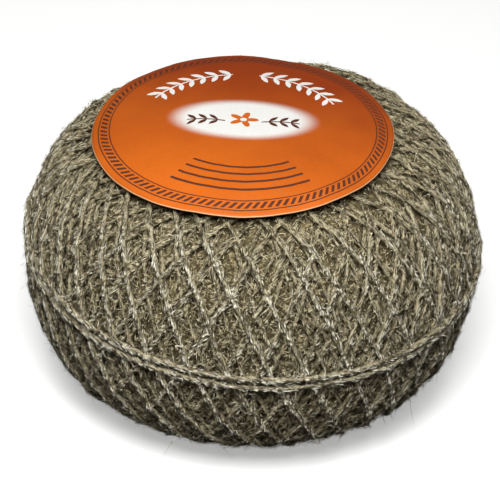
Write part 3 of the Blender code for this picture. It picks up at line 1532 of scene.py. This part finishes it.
    def _even(self, knots: np.ndarray, rng: np.random.Generator) -> Strand:
        """Samples a path evenly and lets it wander to the side, but not at its ends.

        Args:
            knots: (3, n) angles, arcs and runs.
            rng: the source of the wander.

        Returns:
            The strand, without heights.
        """
        run = np.arange(knots[2, 0], knots[2, -1], self.step)
        strand = Strand(np.interp(run, knots[2], knots[0]), np.interp(run, knots[2], knots[1]), run)
        calm = np.minimum(1, np.minimum(run - run[0], run[-1] - run) / self.calm_length)
        angle, arc = strand.across(self.form, wandering(run, self.wander, rng) * calm)
        limit = self.form.reach - self.pole_gap
        return Strand(angle, arc.clip(-limit, limit), run)

    def settle(self, strand: Strand) -> None:
        """Shifts a laid strand so that the ridges of the last turn reach the form's outer surface.

        Under the label no strand stands over that surface by more than the covered rise.

        Args:
            strand: the strand, whose heights are changed.
        """
        ridge = self.level.read(strand.angle, strand.arc) + (1 - Layer.squash) * self.twine.radius
        covered = (strand.arc > 0) & (self.form.r(strand.arc) < self.label_reach)
        limit = np.where(covered, self.covered_rise - self.twine.radius, np.inf)
        strand.height = np.minimum(strand.height - ridge, limit)

    def turn(self, number: int) -> list[Strand]:
        """The strands of one turn of the winding, 0 the deepest."""
        first = round(number * self.loops_per_turn)
        return self.strands[first : round((number + 1) * self.loops_per_turn)]

    def thin(self, strand: Strand, step: float) -> Strand:
        """Samples a strand for its mesh.

        Args:
            strand: the strand.
            step: the distance between samples, longer where the label hides the strand.

        Returns:
            The strand with fewer samples.
        """
        hidden = (strand.arc > 0) & (self.form.r(strand.arc) < self.hidden_reach)
        density = np.where(hidden, self.hidden_share, 1.0) / step
        count = np.cumsum(0.5 * (density[1:] + density[:-1]) * np.diff(strand.run))
        count = np.concatenate([[0], count])
        marks = np.linspace(0, count[-1], max(4, round(count[-1])))
        return strand.resampled(np.interp(marks, count, strand.run))

    def joined(self, strands: list[Strand]) -> Strand:
        """Joins loops that follow each other, and smooths the steps between them.

        Args:
            strands: the loops.

        Returns:
            One strand.
        """
        rows = zip(*((strand.angle, strand.arc, strand.height, strand.run) for strand in strands))
        angle, arc, height, run = (np.concatenate(row) for row in rows)
        rows = (np.unwrap(angle), arc, height)
        angle, arc, height = (smoothed(row, self.joint_smoothing, mode="edge") for row in rows)
        return Strand(angle, arc, run, height)

    def build(self, material: bpy.types.Material) -> list[bpy.types.Object]:
        """Meshes the turns that show, the last one in two pieces.

        Args:
            material: the twine's finish.

        Returns:
            The pieces.
        """
        details = {3: Detail.THIRD, 4: Detail.SECOND, 5: Detail.TOP}
        pieces = []
        for number, detail in details.items():
            step, sides = detail.value
            strands = self.turn(number)
            middle = len(strands) // 2
            parts = {"": strands}
            if detail is Detail.TOP:
                parts = {"a": strands[:middle], "b": strands[middle:]}
            for suffix, part in parts.items():
                strand = self.thin(self.joined(part), step)
                name, seed = f"winding_{number}{suffix}", self.mesh_seed + number
                pieces.append(self.twine.mesh(name, strand, sides, material, seed))
        return pieces


# ---------------------------------------------------------------------------------------------------
# Belly turns
# ---------------------------------------------------------------------------------------------------


@dataclass
class BellyTurns:
    """The last of the twine: it leaves the winding at the back right and runs round the belly.

    Angles are from the front. The turns lie in a tilted plane, and their spacing is widest at one side.
    The strand comes down to them from the arrival height within a few arrival angles, and is tucked into
    the winding at both ends. Matting is as in Twine.mesh.
    """

    form: BallForm
    twine: Twine
    seed: int = 31
    mesh_seed: int = 47
    turns: float = 2.3
    start: float = math.radians(112)
    mean_height: float = 6.0
    tilt_height: float = 7.5
    low_side: float = math.radians(20)
    spacing: float = 1.85
    spacing_swing: float = 0.42
    wide_side: float = math.radians(45)
    arrival_height: float = 26.0
    arrival_angle: float = math.radians(13)
    wander: tuple[Range, ...] = ((0.10, 16.0),)
    squash: float = 0.62
    path_places: int = 3000
    step: float = 0.45
    ring_step: float = 0.65
    sides: int = 10
    tuck_depth: float = 3.2
    tuck_length: float = 16.0
    matting: float = 0.75

    def lay(self, surface: HeightMap, winding: Winding) -> Strand:
        """Lays the strand on the wound surface.

        Its arc is mean_height - tilt_height * cos(angle - low_side), plus the spacing for each turn gone
        and arrival_height * exp(-gone / arrival_angle).

        Args:
            surface: the height map of the winding.
            winding: the winding, which knows how its heights were settled.

        Returns:
            The strand.
        """
        rng = np.random.default_rng(self.seed)
        gone = np.linspace(0, self.turns * TURN, self.path_places)
        angle = self.start + gone
        spacing = self.spacing + self.spacing_swing * np.cos(angle + self.wide_side)
        arc = self.mean_height - self.tilt_height * np.cos(angle - self.low_side)
        arc = arc + spacing * (gone / TURN - self.turns / 2)
        arc = arc + self.arrival_height * np.exp(-gone / self.arrival_angle)
        steps = np.hypot(np.diff(angle) * self.form.radius, np.diff(arc))
        length = np.concatenate([[0], np.cumsum(steps)])
        run = np.arange(0, length[-1], self.step)
        arc = np.interp(run, length, arc) + wandering(run, self.wander, rng)
        strand = Strand(FRONT + np.interp(run, length, angle), arc, run)
        Layer(self.form, surface, self.twine.radius, self.squash).lay(strand)
        winding.settle(strand)
        for left in (run, run[-1] - run):
            strand.height = strand.height - self.tuck_depth * (1 - left / self.tuck_length).clip(0) ** 2
        return strand

    def build(self, strand: Strand, material: bpy.types.Material) -> bpy.types.Object:
        """Meshes the strand finely, because it lies outermost."""
        fine = strand.resampled(np.arange(strand.run[0], strand.run[-1], self.ring_step))
        return self.twine.mesh("belly_turns", fine, self.sides, material, self.mesh_seed, self.matting)


# ---------------------------------------------------------------------------------------------------
# Loose fibres, core
# ---------------------------------------------------------------------------------------------------


@dataclass(frozen=True)
class FibreHabit:
    """How a sort of loose fibre grows: lengths in millimetres, the rest as shares of a fibre's length.

    Lean is how far it stands off the strand. Follow is how far it turns clockwise from the strand's axis,
    as the twist does, and swing is how far fibres stray from that. Spread is how far round the strand they
    root, in radians from its crest. Shoulder share is how many of them are left high on the ball.
    """

    mean_length: float
    half_width: float
    lean: float = 0.0
    swing: float = 0.0
    curl: float = 0.0
    bent: bool = False
    follow: float = 0.0
    spread: float = 0.85
    shoulder_share: float = 0.22


LYING = FibreHabit(2.0, 0.052, lean=0.03, swing=0.12, follow=0.28, spread=0.28, shoulder_share=0.8)
CURLY = FibreHabit(1.8, 0.052, lean=0.04, swing=0.80, curl=0.50, bent=True)
MATTED = FibreHabit(1.9, 0.058)


@dataclass
class LooseFibres:
    """Fibres that lie on the twine, stand off it or cross its gaps: thin closed slivers with sharp ends.

    None grows under the label, but for deep ones just inside its rim. Over the shoulder's lower height
    they get fewer, down to their habit's share at its upper height.
    """

    form: BallForm
    twine_radius: float
    label_centre: tuple[float, float]
    label_radius: float
    rim_clearance: float = 0.6
    rim_reach: float = 5.0
    rim_depth: float = 1.1
    shoulder: Range = (52.0, 62.0)
    root_share: float = 0.92
    pole_gap: float = 8.0
    tilt: float = 0.25
    length_scatter: float = 0.40
    length_limits: Range = (0.6, 4.5)
    width_scatter: float = 0.30
    width_limits: Range = (0.5, 1.9)
    floor_gap: float = 0.05

    def on_strands(
        self,
        name: str,
        strands: list[Strand],
        count: int,
        habit: FibreHabit,
        material: bpy.types.Material,
    ) -> bpy.types.Object:
        """Makes fibres rooted on the outer side of strands.

        Args:
            name: the piece's name.
            strands: the strands that carry them.
            count: how many.
            habit: how they grow.
            material: the finish.

        Returns:
            The piece.
        """
        rng = np.random.default_rng(sum(name.encode()))
        frames = [(*strand.frame(self.form), -strand.height - self.twine_radius) for strand in strands]
        parts = [np.concatenate(rows) for rows in zip(*frames)]
        seen = self._seen(parts[0], parts[4], habit, rng)
        parts = [part[seen] for part in parts]
        pick = rng.integers(0, len(parts[0]), count)
        centre, tangent, normal, side, depth = (part[pick] for part in parts)
        turn = rng.normal(size=(count, 1)) * habit.spread
        out = np.cos(turn) * normal + np.sin(turn) * side
        over = np.cross(tangent, out)
        along = np.where(rng.random((count, 1)) < 0.5, 1.0, -1.0)
        lean = np.abs(rng.normal(size=(count, 1))) * habit.lean
        swing = rng.normal(size=(count, 1)) * habit.swing
        direction = along * (tangent + (habit.follow + swing) * over) + lean * out
        root = centre + out * (self.twine_radius * self.root_share)
        bend = rng.normal(size=(count, 1)) * habit.curl * over - rng.random((count, 1)) * habit.curl * out
        return self._slivers(name, (root, direction, bend, normal), depth, habit, material, rng)

    def across_gaps(
        self, name: str, count: int, depth: Range, habit: FibreHabit, material: bpy.types.Material
    ) -> bpy.types.Object:
        """Makes fibres that lie every way between strands, at a depth under the outer surface.

        Args:
            name: the piece's name.
            count: how many.
            depth: least and greatest depth, in millimetres.
            habit: how they grow.
            material: the finish.

        Returns:
            The piece.
        """
        rng = np.random.default_rng(sum(name.encode()))
        tries = 3 * count
        arc = rng.uniform(-1, 1, tries) * (self.form.reach - self.pole_gap)
        arc = arc[rng.random(tries) * self.form.radius < self.form.r(arc)]
        angle = rng.uniform(0, TURN, len(arc))
        below = rng.uniform(*depth, len(arc))
        root = self.form.points(angle, arc, -below)
        seen = np.flatnonzero(self._seen(root, below, habit, rng))[:count]
        root, angle, arc, below = root[seen], angle[seen], arc[seen], below[seen]
        normal = self.form.normal(angle, arc)
        level_way = np.stack([-np.sin(angle), np.cos(angle), np.zeros(len(angle))], axis=-1)
        climb_way = np.cross(normal, level_way)
        turn = rng.uniform(0, TURN, (len(angle), 1))
        tilt, roll = rng.normal(size=(2, len(angle), 1))
        direction = np.cos(turn) * level_way + np.sin(turn) * climb_way + tilt * self.tilt * normal
        bend = roll * habit.curl * np.cross(normal, direction)
        return self._slivers(name, (root, direction, bend, normal), below, habit, material, rng)

    def _seen(
        self, places: np.ndarray, depth: np.ndarray, habit: FibreHabit, rng: np.random.Generator
    ) -> np.ndarray:
        """Chooses the places that may carry a fibre.

        Args:
            places: (n, 3) places.
            depth: (n,) their depths under the ball's outer surface.
            habit: how the fibres grow, with the share of them left on the shoulder.
            rng: the source of the choice.

        Returns:
            (n,) whether each may carry one: off the label, or deep enough just inside its rim.
        """
        distance = np.hypot(places[:, 0] - self.label_centre[0], places[:, 1] - self.label_centre[1])
        under_rim = (distance > self.label_radius - self.rim_reach) & (depth > self.rim_depth)
        beside = distance > self.label_radius + self.rim_clearance
        low, high = self.shoulder
        share = 1 - (1 - habit.shoulder_share) * ((places[:, 2] - low) / (high - low)).clip(0, 1)
        off = (places[:, 2] < self.form.half_height) | beside | under_rim
        return off & (rng.random(len(places)) < share)

    def _slivers(
        self,
        name: str,
        lines: tuple[np.ndarray, np.ndarray, np.ndarray, np.ndarray],
        depth: np.ndarray,
        habit: FibreHabit,
        material: bpy.types.Material,
        rng: np.random.Generator,
    ) -> bpy.types.Object:
        """Makes the slivers, closed bodies between two points.

        A sliver's line is root + length * (t * direction + t * t * bend), for t from 0 to 1. A bent one
        has a three-sided ring in the middle, six triangles in all. A straight one has two corners there,
        a little over the line, four triangles in all.

        Args:
            name: the piece's name.
            lines: (n, 3) roots, directions, bends as a share of the length, and outward normals.
            depth: (n,) depths under the ball's outer surface.
            habit: how they grow.
            material: the finish.
            rng: the source of lengths and widths.

        Returns:
            The piece.
        """
        root, direction, bend, normal = lines
        count = len(root)
        direction = direction / np.linalg.norm(direction, axis=1, keepdims=True)
        length = habit.mean_length * rng.lognormal(0, self.length_scatter, (count, 1))
        length = length.clip(*self.length_limits)
        middle = root + length * (0.5 * direction + 0.25 * bend)
        tip = root + length * (direction + bend)
        side = np.cross(direction, normal)
        side /= np.linalg.norm(side, axis=1, keepdims=True).clip(1e-6)
        up = np.cross(side, direction)
        width = rng.lognormal(0, self.width_scatter, (count, 1)).clip(*self.width_limits)
        width = habit.half_width * width
        if habit.bent:
            corner = TURN * np.arange(3)[None, :, None] / 3
            ring = np.cos(corner) * up[:, None] + np.sin(corner) * side[:, None]
            pattern = np.array([(0, 2, 1), (0, 3, 2), (0, 1, 3), (4, 1, 2), (4, 2, 3), (4, 3, 1)])
        else:
            ring = np.stack([up - side, up + side], axis=1)
            pattern = np.array([(0, 1, 2), (3, 2, 1), (0, 3, 1), (0, 2, 3)])
        rings = middle[:, None] + width[..., None] * ring
        points = np.concatenate([root[:, None], rings, tip[:, None]], axis=1)
        faces = (pattern[None] + points.shape[1] * np.arange(count)[:, None, None]).reshape(-1, 3)
        depth = np.repeat(depth, points.shape[1])
        points = points.reshape(-1, 3)
        points[:, 2] = points[:, 2].clip(self.floor_gap)
        return make_piece(name, points, [faces], material, depth=depth)


@dataclass
class Core:
    """The deep winding as one closed lumpy body, seen only through gaps, dimpled at both poles."""

    form: BallForm
    depth: float = 3.8
    rings: int = 60
    sectors: int = 90
    pole_gap: float = 1.0
    weave_pitch: float = 0.35
    weave_height: float = 0.45
    dimple: float = 5.0
    dimple_radius: float = 12.0

    def build(self, material: bpy.types.Material) -> bpy.types.Object:
        """Sweeps the form at a height of -depth + weave - dimple * (1 - r / dimple_radius) ** 2.

        The last term counts only within the dimple's radius.

        Args:
            material: the finish.

        Returns:
            The piece.
        """
        arc = np.linspace(-1, 1, self.rings + 1)[1:-1] * (self.form.reach - self.pole_gap)
        angle = TURN * np.arange(self.sectors) / self.sectors
        grid_arc, grid_angle = np.meshgrid(arc, angle, indexing="ij")
        lumps = weave(self.weave_height, grid_angle, grid_arc, self.weave_pitch)
        dimple = self.dimple * (1 - self.form.r(grid_arc) / self.dimple_radius).clip(0) ** 2
        points = self.form.points(grid_angle, grid_arc, -self.depth + lumps - dimple).reshape(-1, 3)
        ends = (points[: self.sectors], points[-self.sectors :])
        poles = [[*self.form.axis, end[:, 2].mean()] for end in ends]
        number = np.arange(len(points)).reshape(len(arc), self.sectors)
        beside = np.roll(number, -1, axis=1)
        quads = np.stack([number[:-1], beside[:-1], beside[1:], number[1:]], axis=-1).reshape(-1, 4)
        south = np.stack([beside[0], number[0], np.full(self.sectors, len(points))], axis=-1)
        north = np.stack([number[-1], beside[-1], np.full(self.sectors, len(points) + 1)], axis=-1)
        faces = [quads, np.concatenate([south, north])]
        return make_piece("deep_winding", np.concatenate([points, poles]), faces, material)


# ---------------------------------------------------------------------------------------------------
# Label
# ---------------------------------------------------------------------------------------------------


@dataclass
class Label:
    """A thin paper disc that lies on the crown, lightly buckled, its rim a little off the twine.

    Buckles are (height, waves round the rim, phase). The far edge is lifted, as over a hollow in the
    twine below it.
    """

    form: BallForm
    radius: float
    centre: tuple[float, float]
    thickness: float = 0.22
    clearance: float = 0.55
    rim_lift: float = 0.12
    far_lift: float = 0.60
    buckles: tuple[tuple[float, int, float], ...] = ((0.16, 3, 0.6), (0.13, 7, 2.1), (0.07, 13, 0.0))
    print_through: float = 0.05
    print_pitch: float = 0.5
    print_reach: float = 30.0
    rings: int = 44
    sectors: int = 120
    ring_power: float = 0.8

    def surface(self, distance: np.ndarray, angle: np.ndarray) -> np.ndarray:
        """Points of the paper's underside.

        Height is the crown's plus the clearance, buckles and a lift that grow with the fourth power of the
        distance, a faint print of the twine below, and the far edge's lift, which grows with the square of
        the way towards it.

        Args:
            distance: distances from the label's own centre.
            angle: angles round it.

        Returns:
            (..., 3) points.
        """
        x = self.centre[0] + distance * np.cos(angle)
        y = self.centre[1] + distance * np.sin(angle)
        crown = self.form.crown(np.hypot(x - self.form.axis[0], y - self.form.axis[1]))
        rim = (distance / self.radius) ** 4
        buckle = rim * sum(height * np.sin(waves * angle + phase) for height, waves, phase in self.buckles)
        out = np.hypot(x, y)
        printed = weave(self.print_through, np.arctan2(y, x), out, self.print_pitch)
        printed = printed * (out / self.print_reach).clip(0, 1)
        lifted = self.far_lift * ((y - self.centre[1]) / self.radius).clip(0) ** 2
        height = crown + self.clearance + buckle + printed + self.rim_lift * rim + lifted
        return np.stack([x, y, height], axis=-1)

    def build(self, material: bpy.types.Material) -> bpy.types.Object:
        """Makes the disc with its upper side, underside and cut edge.

        Args:
            material: the finish.

        Returns:
            The piece.
        """
        ring = self.radius * (np.arange(1, self.rings + 1) / self.rings) ** self.ring_power
        distance, angle = np.meshgrid(ring, TURN * np.arange(self.sectors) / self.sectors, indexing="ij")
        under = self.surface(distance, angle).reshape(-1, 3)
        middle = self.surface(np.zeros(1), np.zeros(1))
        lift = np.array([0.0, 0.0, self.thickness])
        points = np.concatenate([under, middle, under + lift, middle + lift])
        number = np.arange(len(under)).reshape(distance.shape)
        beside = np.roll(number, -1, axis=1)
        half = len(under) + 1
        band = np.stack([number[:-1], number[1:], beside[1:], beside[:-1]], axis=-1).reshape(-1, 4)
        fan = np.stack([np.full(self.sectors, half - 1), number[0], beside[0]], axis=-1)
        edge = np.stack([number[-1], beside[-1], beside[-1] + half, number[-1] + half], axis=-1)
        quads = np.concatenate([band[:, ::-1], band + half, edge])
        fans = np.concatenate([fan[:, ::-1], fan + half])
        return make_piece("paper_label", points, [quads, fans], material)


# ---------------------------------------------------------------------------------------------------
# Studio
# ---------------------------------------------------------------------------------------------------


@dataclass
class Studio:
    """Pale floor, soft lights and the camera at the photograph's angle.

    Lengths here are in metres, but for the sensor's width, which is in millimetres.
    """

    target: Place
    elevation: float = math.radians(32.5)
    distance: float = 0.450
    roll: float = math.radians(2.52)
    focal_pixels: float = 1947.3
    frame_pixels: float = 500.0
    centre_pixel: tuple[float, float] = (252.0, 245.5)
    sensor_width: float = 36.0
    clip_range: Range = (0.01, 20.0)
    floor_half: float = 2.0
    sky: float = 0.06

    def floor(self) -> None:
        """Adds the floor, which throws no light on the ball."""
        corners = np.array([[-1, -1, 0], [1, -1, 0], [1, 1, 0], [-1, 1, 0]]) * (self.floor_half / METRES)
        plane = make_piece("floor", corners, [np.array([[0, 1, 2, 3]])], FloorFinish().dye())
        plane.visible_diffuse = False
        plane.visible_glossy = False

    def light(self, name: str, place: Place, size: float, power: float) -> bpy.types.Object:
        """Adds a square soft light that faces the ball.

        Args:
            name: the light's name.
            place: where it stands, from the ball's middle.
            size: its side.
            power: its power in watts.

        Returns:
            The light.
        """
        data = bpy.data.lights.new(name, "AREA")
        data.size = size
        data.energy = power
        lamp = bpy.data.objects.new(name, data)
        lamp.location = Vector(self.target) + Vector(place)
        lamp.rotation_euler = (-Vector(place)).to_track_quat("-Z", "Y").to_euler()
        bpy.context.scene.collection.objects.link(lamp)
        return lamp

    def lights(self) -> None:
        """Adds the key close over the camera, a low light behind the ball, one over it and a pale sky."""
        self.light("key", (-0.01, -0.20, 0.25), 0.14, 1.64)
        self.light("back", (0.0, 0.90, 0.19), 0.7, 5.0).visible_glossy = False
        self.light("top", (0.0, 0.0, 1.5), 1.0, 3.0).visible_glossy = False
        world = bpy.data.worlds.new("studio_sky")
        world.use_nodes = True
        background = world.node_tree.nodes["Background"]
        background.inputs["Color"].default_value = (1.0, 1.0, 1.0, 1.0)
        background.inputs["Strength"].default_value = self.sky
        bpy.context.scene.world = world

    def camera(self) -> None:
        """Adds the camera: it looks at the ball's middle, rolled, with a small shift for the framing."""
        data = bpy.data.cameras.new("camera")
        data.sensor_width = self.sensor_width
        data.lens = self.focal_pixels / self.frame_pixels * data.sensor_width
        data.shift_x = (self.frame_pixels / 2 - self.centre_pixel[0]) / self.frame_pixels
        data.shift_y = (self.centre_pixel[1] - self.frame_pixels / 2) / self.frame_pixels
        data.clip_start, data.clip_end = self.clip_range
        away = Vector((0, -math.cos(self.elevation), math.sin(self.elevation)))
        camera = bpy.data.objects.new("camera", data)
        facing = (-away).to_track_quat("-Z", "Y").to_matrix() @ Matrix.Rotation(self.roll, 3, "Z")
        stand = Matrix.Translation(Vector(self.target) + away * self.distance)
        camera.matrix_world = stand @ facing.to_4x4()
        bpy.context.scene.collection.objects.link(camera)
        bpy.context.scene.camera = camera


# ---------------------------------------------------------------------------------------------------
# The whole part
# ---------------------------------------------------------------------------------------------------


def build_twine(
    form: BallForm, label_centre: tuple[float, float], label_radius: float
) -> list[bpy.types.Object]:
    """Builds everything that is twine.

    Args:
        form: the ball's form.
        label_centre: the label's centre, under which no loose fibres grow.
        label_radius: the label's radius.

    Returns:
        The pieces.
    """
    twine_material, fibre_material = TwineFinish().dye(), FibreFinish().dye()
    twine = Twine(form)
    winding = Winding(form, twine)
    surface = winding.wind()
    pieces = winding.build(twine_material)
    belly = BellyTurns(form, twine)
    belly_strand = belly.lay(surface, winding)
    pieces.append(belly.build(belly_strand, twine_material))

    fibres = LooseFibres(form, twine.radius, label_centre, label_radius)
    outer, inner = winding.turn(5), winding.turn(4) + winding.turn(3)
    for name, strands, count, habit in (
        ("fibres_lying_outer", outer, 36000, LYING),
        ("fibres_lying_inner", inner, 10000, LYING),
        ("fibres_curly_outer", outer, 9000, CURLY),
        ("fibres_curly_inner", inner, 6000, CURLY),
        ("fibres_belly", [belly_strand], 3600, LYING),
        ("fibres_curly_belly", [belly_strand], 1600, CURLY),
    ):
        pieces.append(fibres.on_strands(name, strands, count, habit, fibre_material))
    for name, count, depth in (("fibres_in_gaps", 42000, (0.5, 2.0)), ("fibres_deep", 34000, (1.6, 3.7))):
        pieces.append(fibres.across_gaps(name, count, depth, MATTED, fibre_material))
    pieces.append(Core(form).build(FuzzFinish().dye()))
    return pieces


def main() -> None:
    """Loads the frame, builds every piece, dresses the part and reports it."""
    logging.basicConfig(level=logging.INFO, format="%(name)s: %(message)s")
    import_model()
    bpy.context.scene.view_settings.view_transform = "Standard"

    ball_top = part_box("ball")[1][2] / METRES
    label_low, label_high = (np.array(corner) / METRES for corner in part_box("label"))
    form = BallForm(axis=(-0.2, 0.7), radius=52.3, half_height=ball_top / 2)
    label_centre = tuple((label_low + label_high)[:2] / 2)
    label_radius = float(label_high[0] - label_low[0]) / 2

    studio = Studio((form.axis[0] * METRES, form.axis[1] * METRES, form.half_height * METRES))
    studio.camera()
    studio.lights()
    studio.floor()

    pieces = build_twine(form, label_centre, label_radius)
    for piece in pieces:
        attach(piece, "root")
        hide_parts("ball")

    label = Label(form, label_radius, label_centre)
    paper = label.build(LabelFinish(label_centre, label_radius).dye())
    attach(paper, "root")
    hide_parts("label")
    pieces.append(paper)

    for piece in pieces:
        triangles = sum(len(face.vertices) - 2 for face in piece.data.polygons)
        LOG.info("%s: %d triangles", piece.name, triangles)


if __name__ == "__main__":
    main()
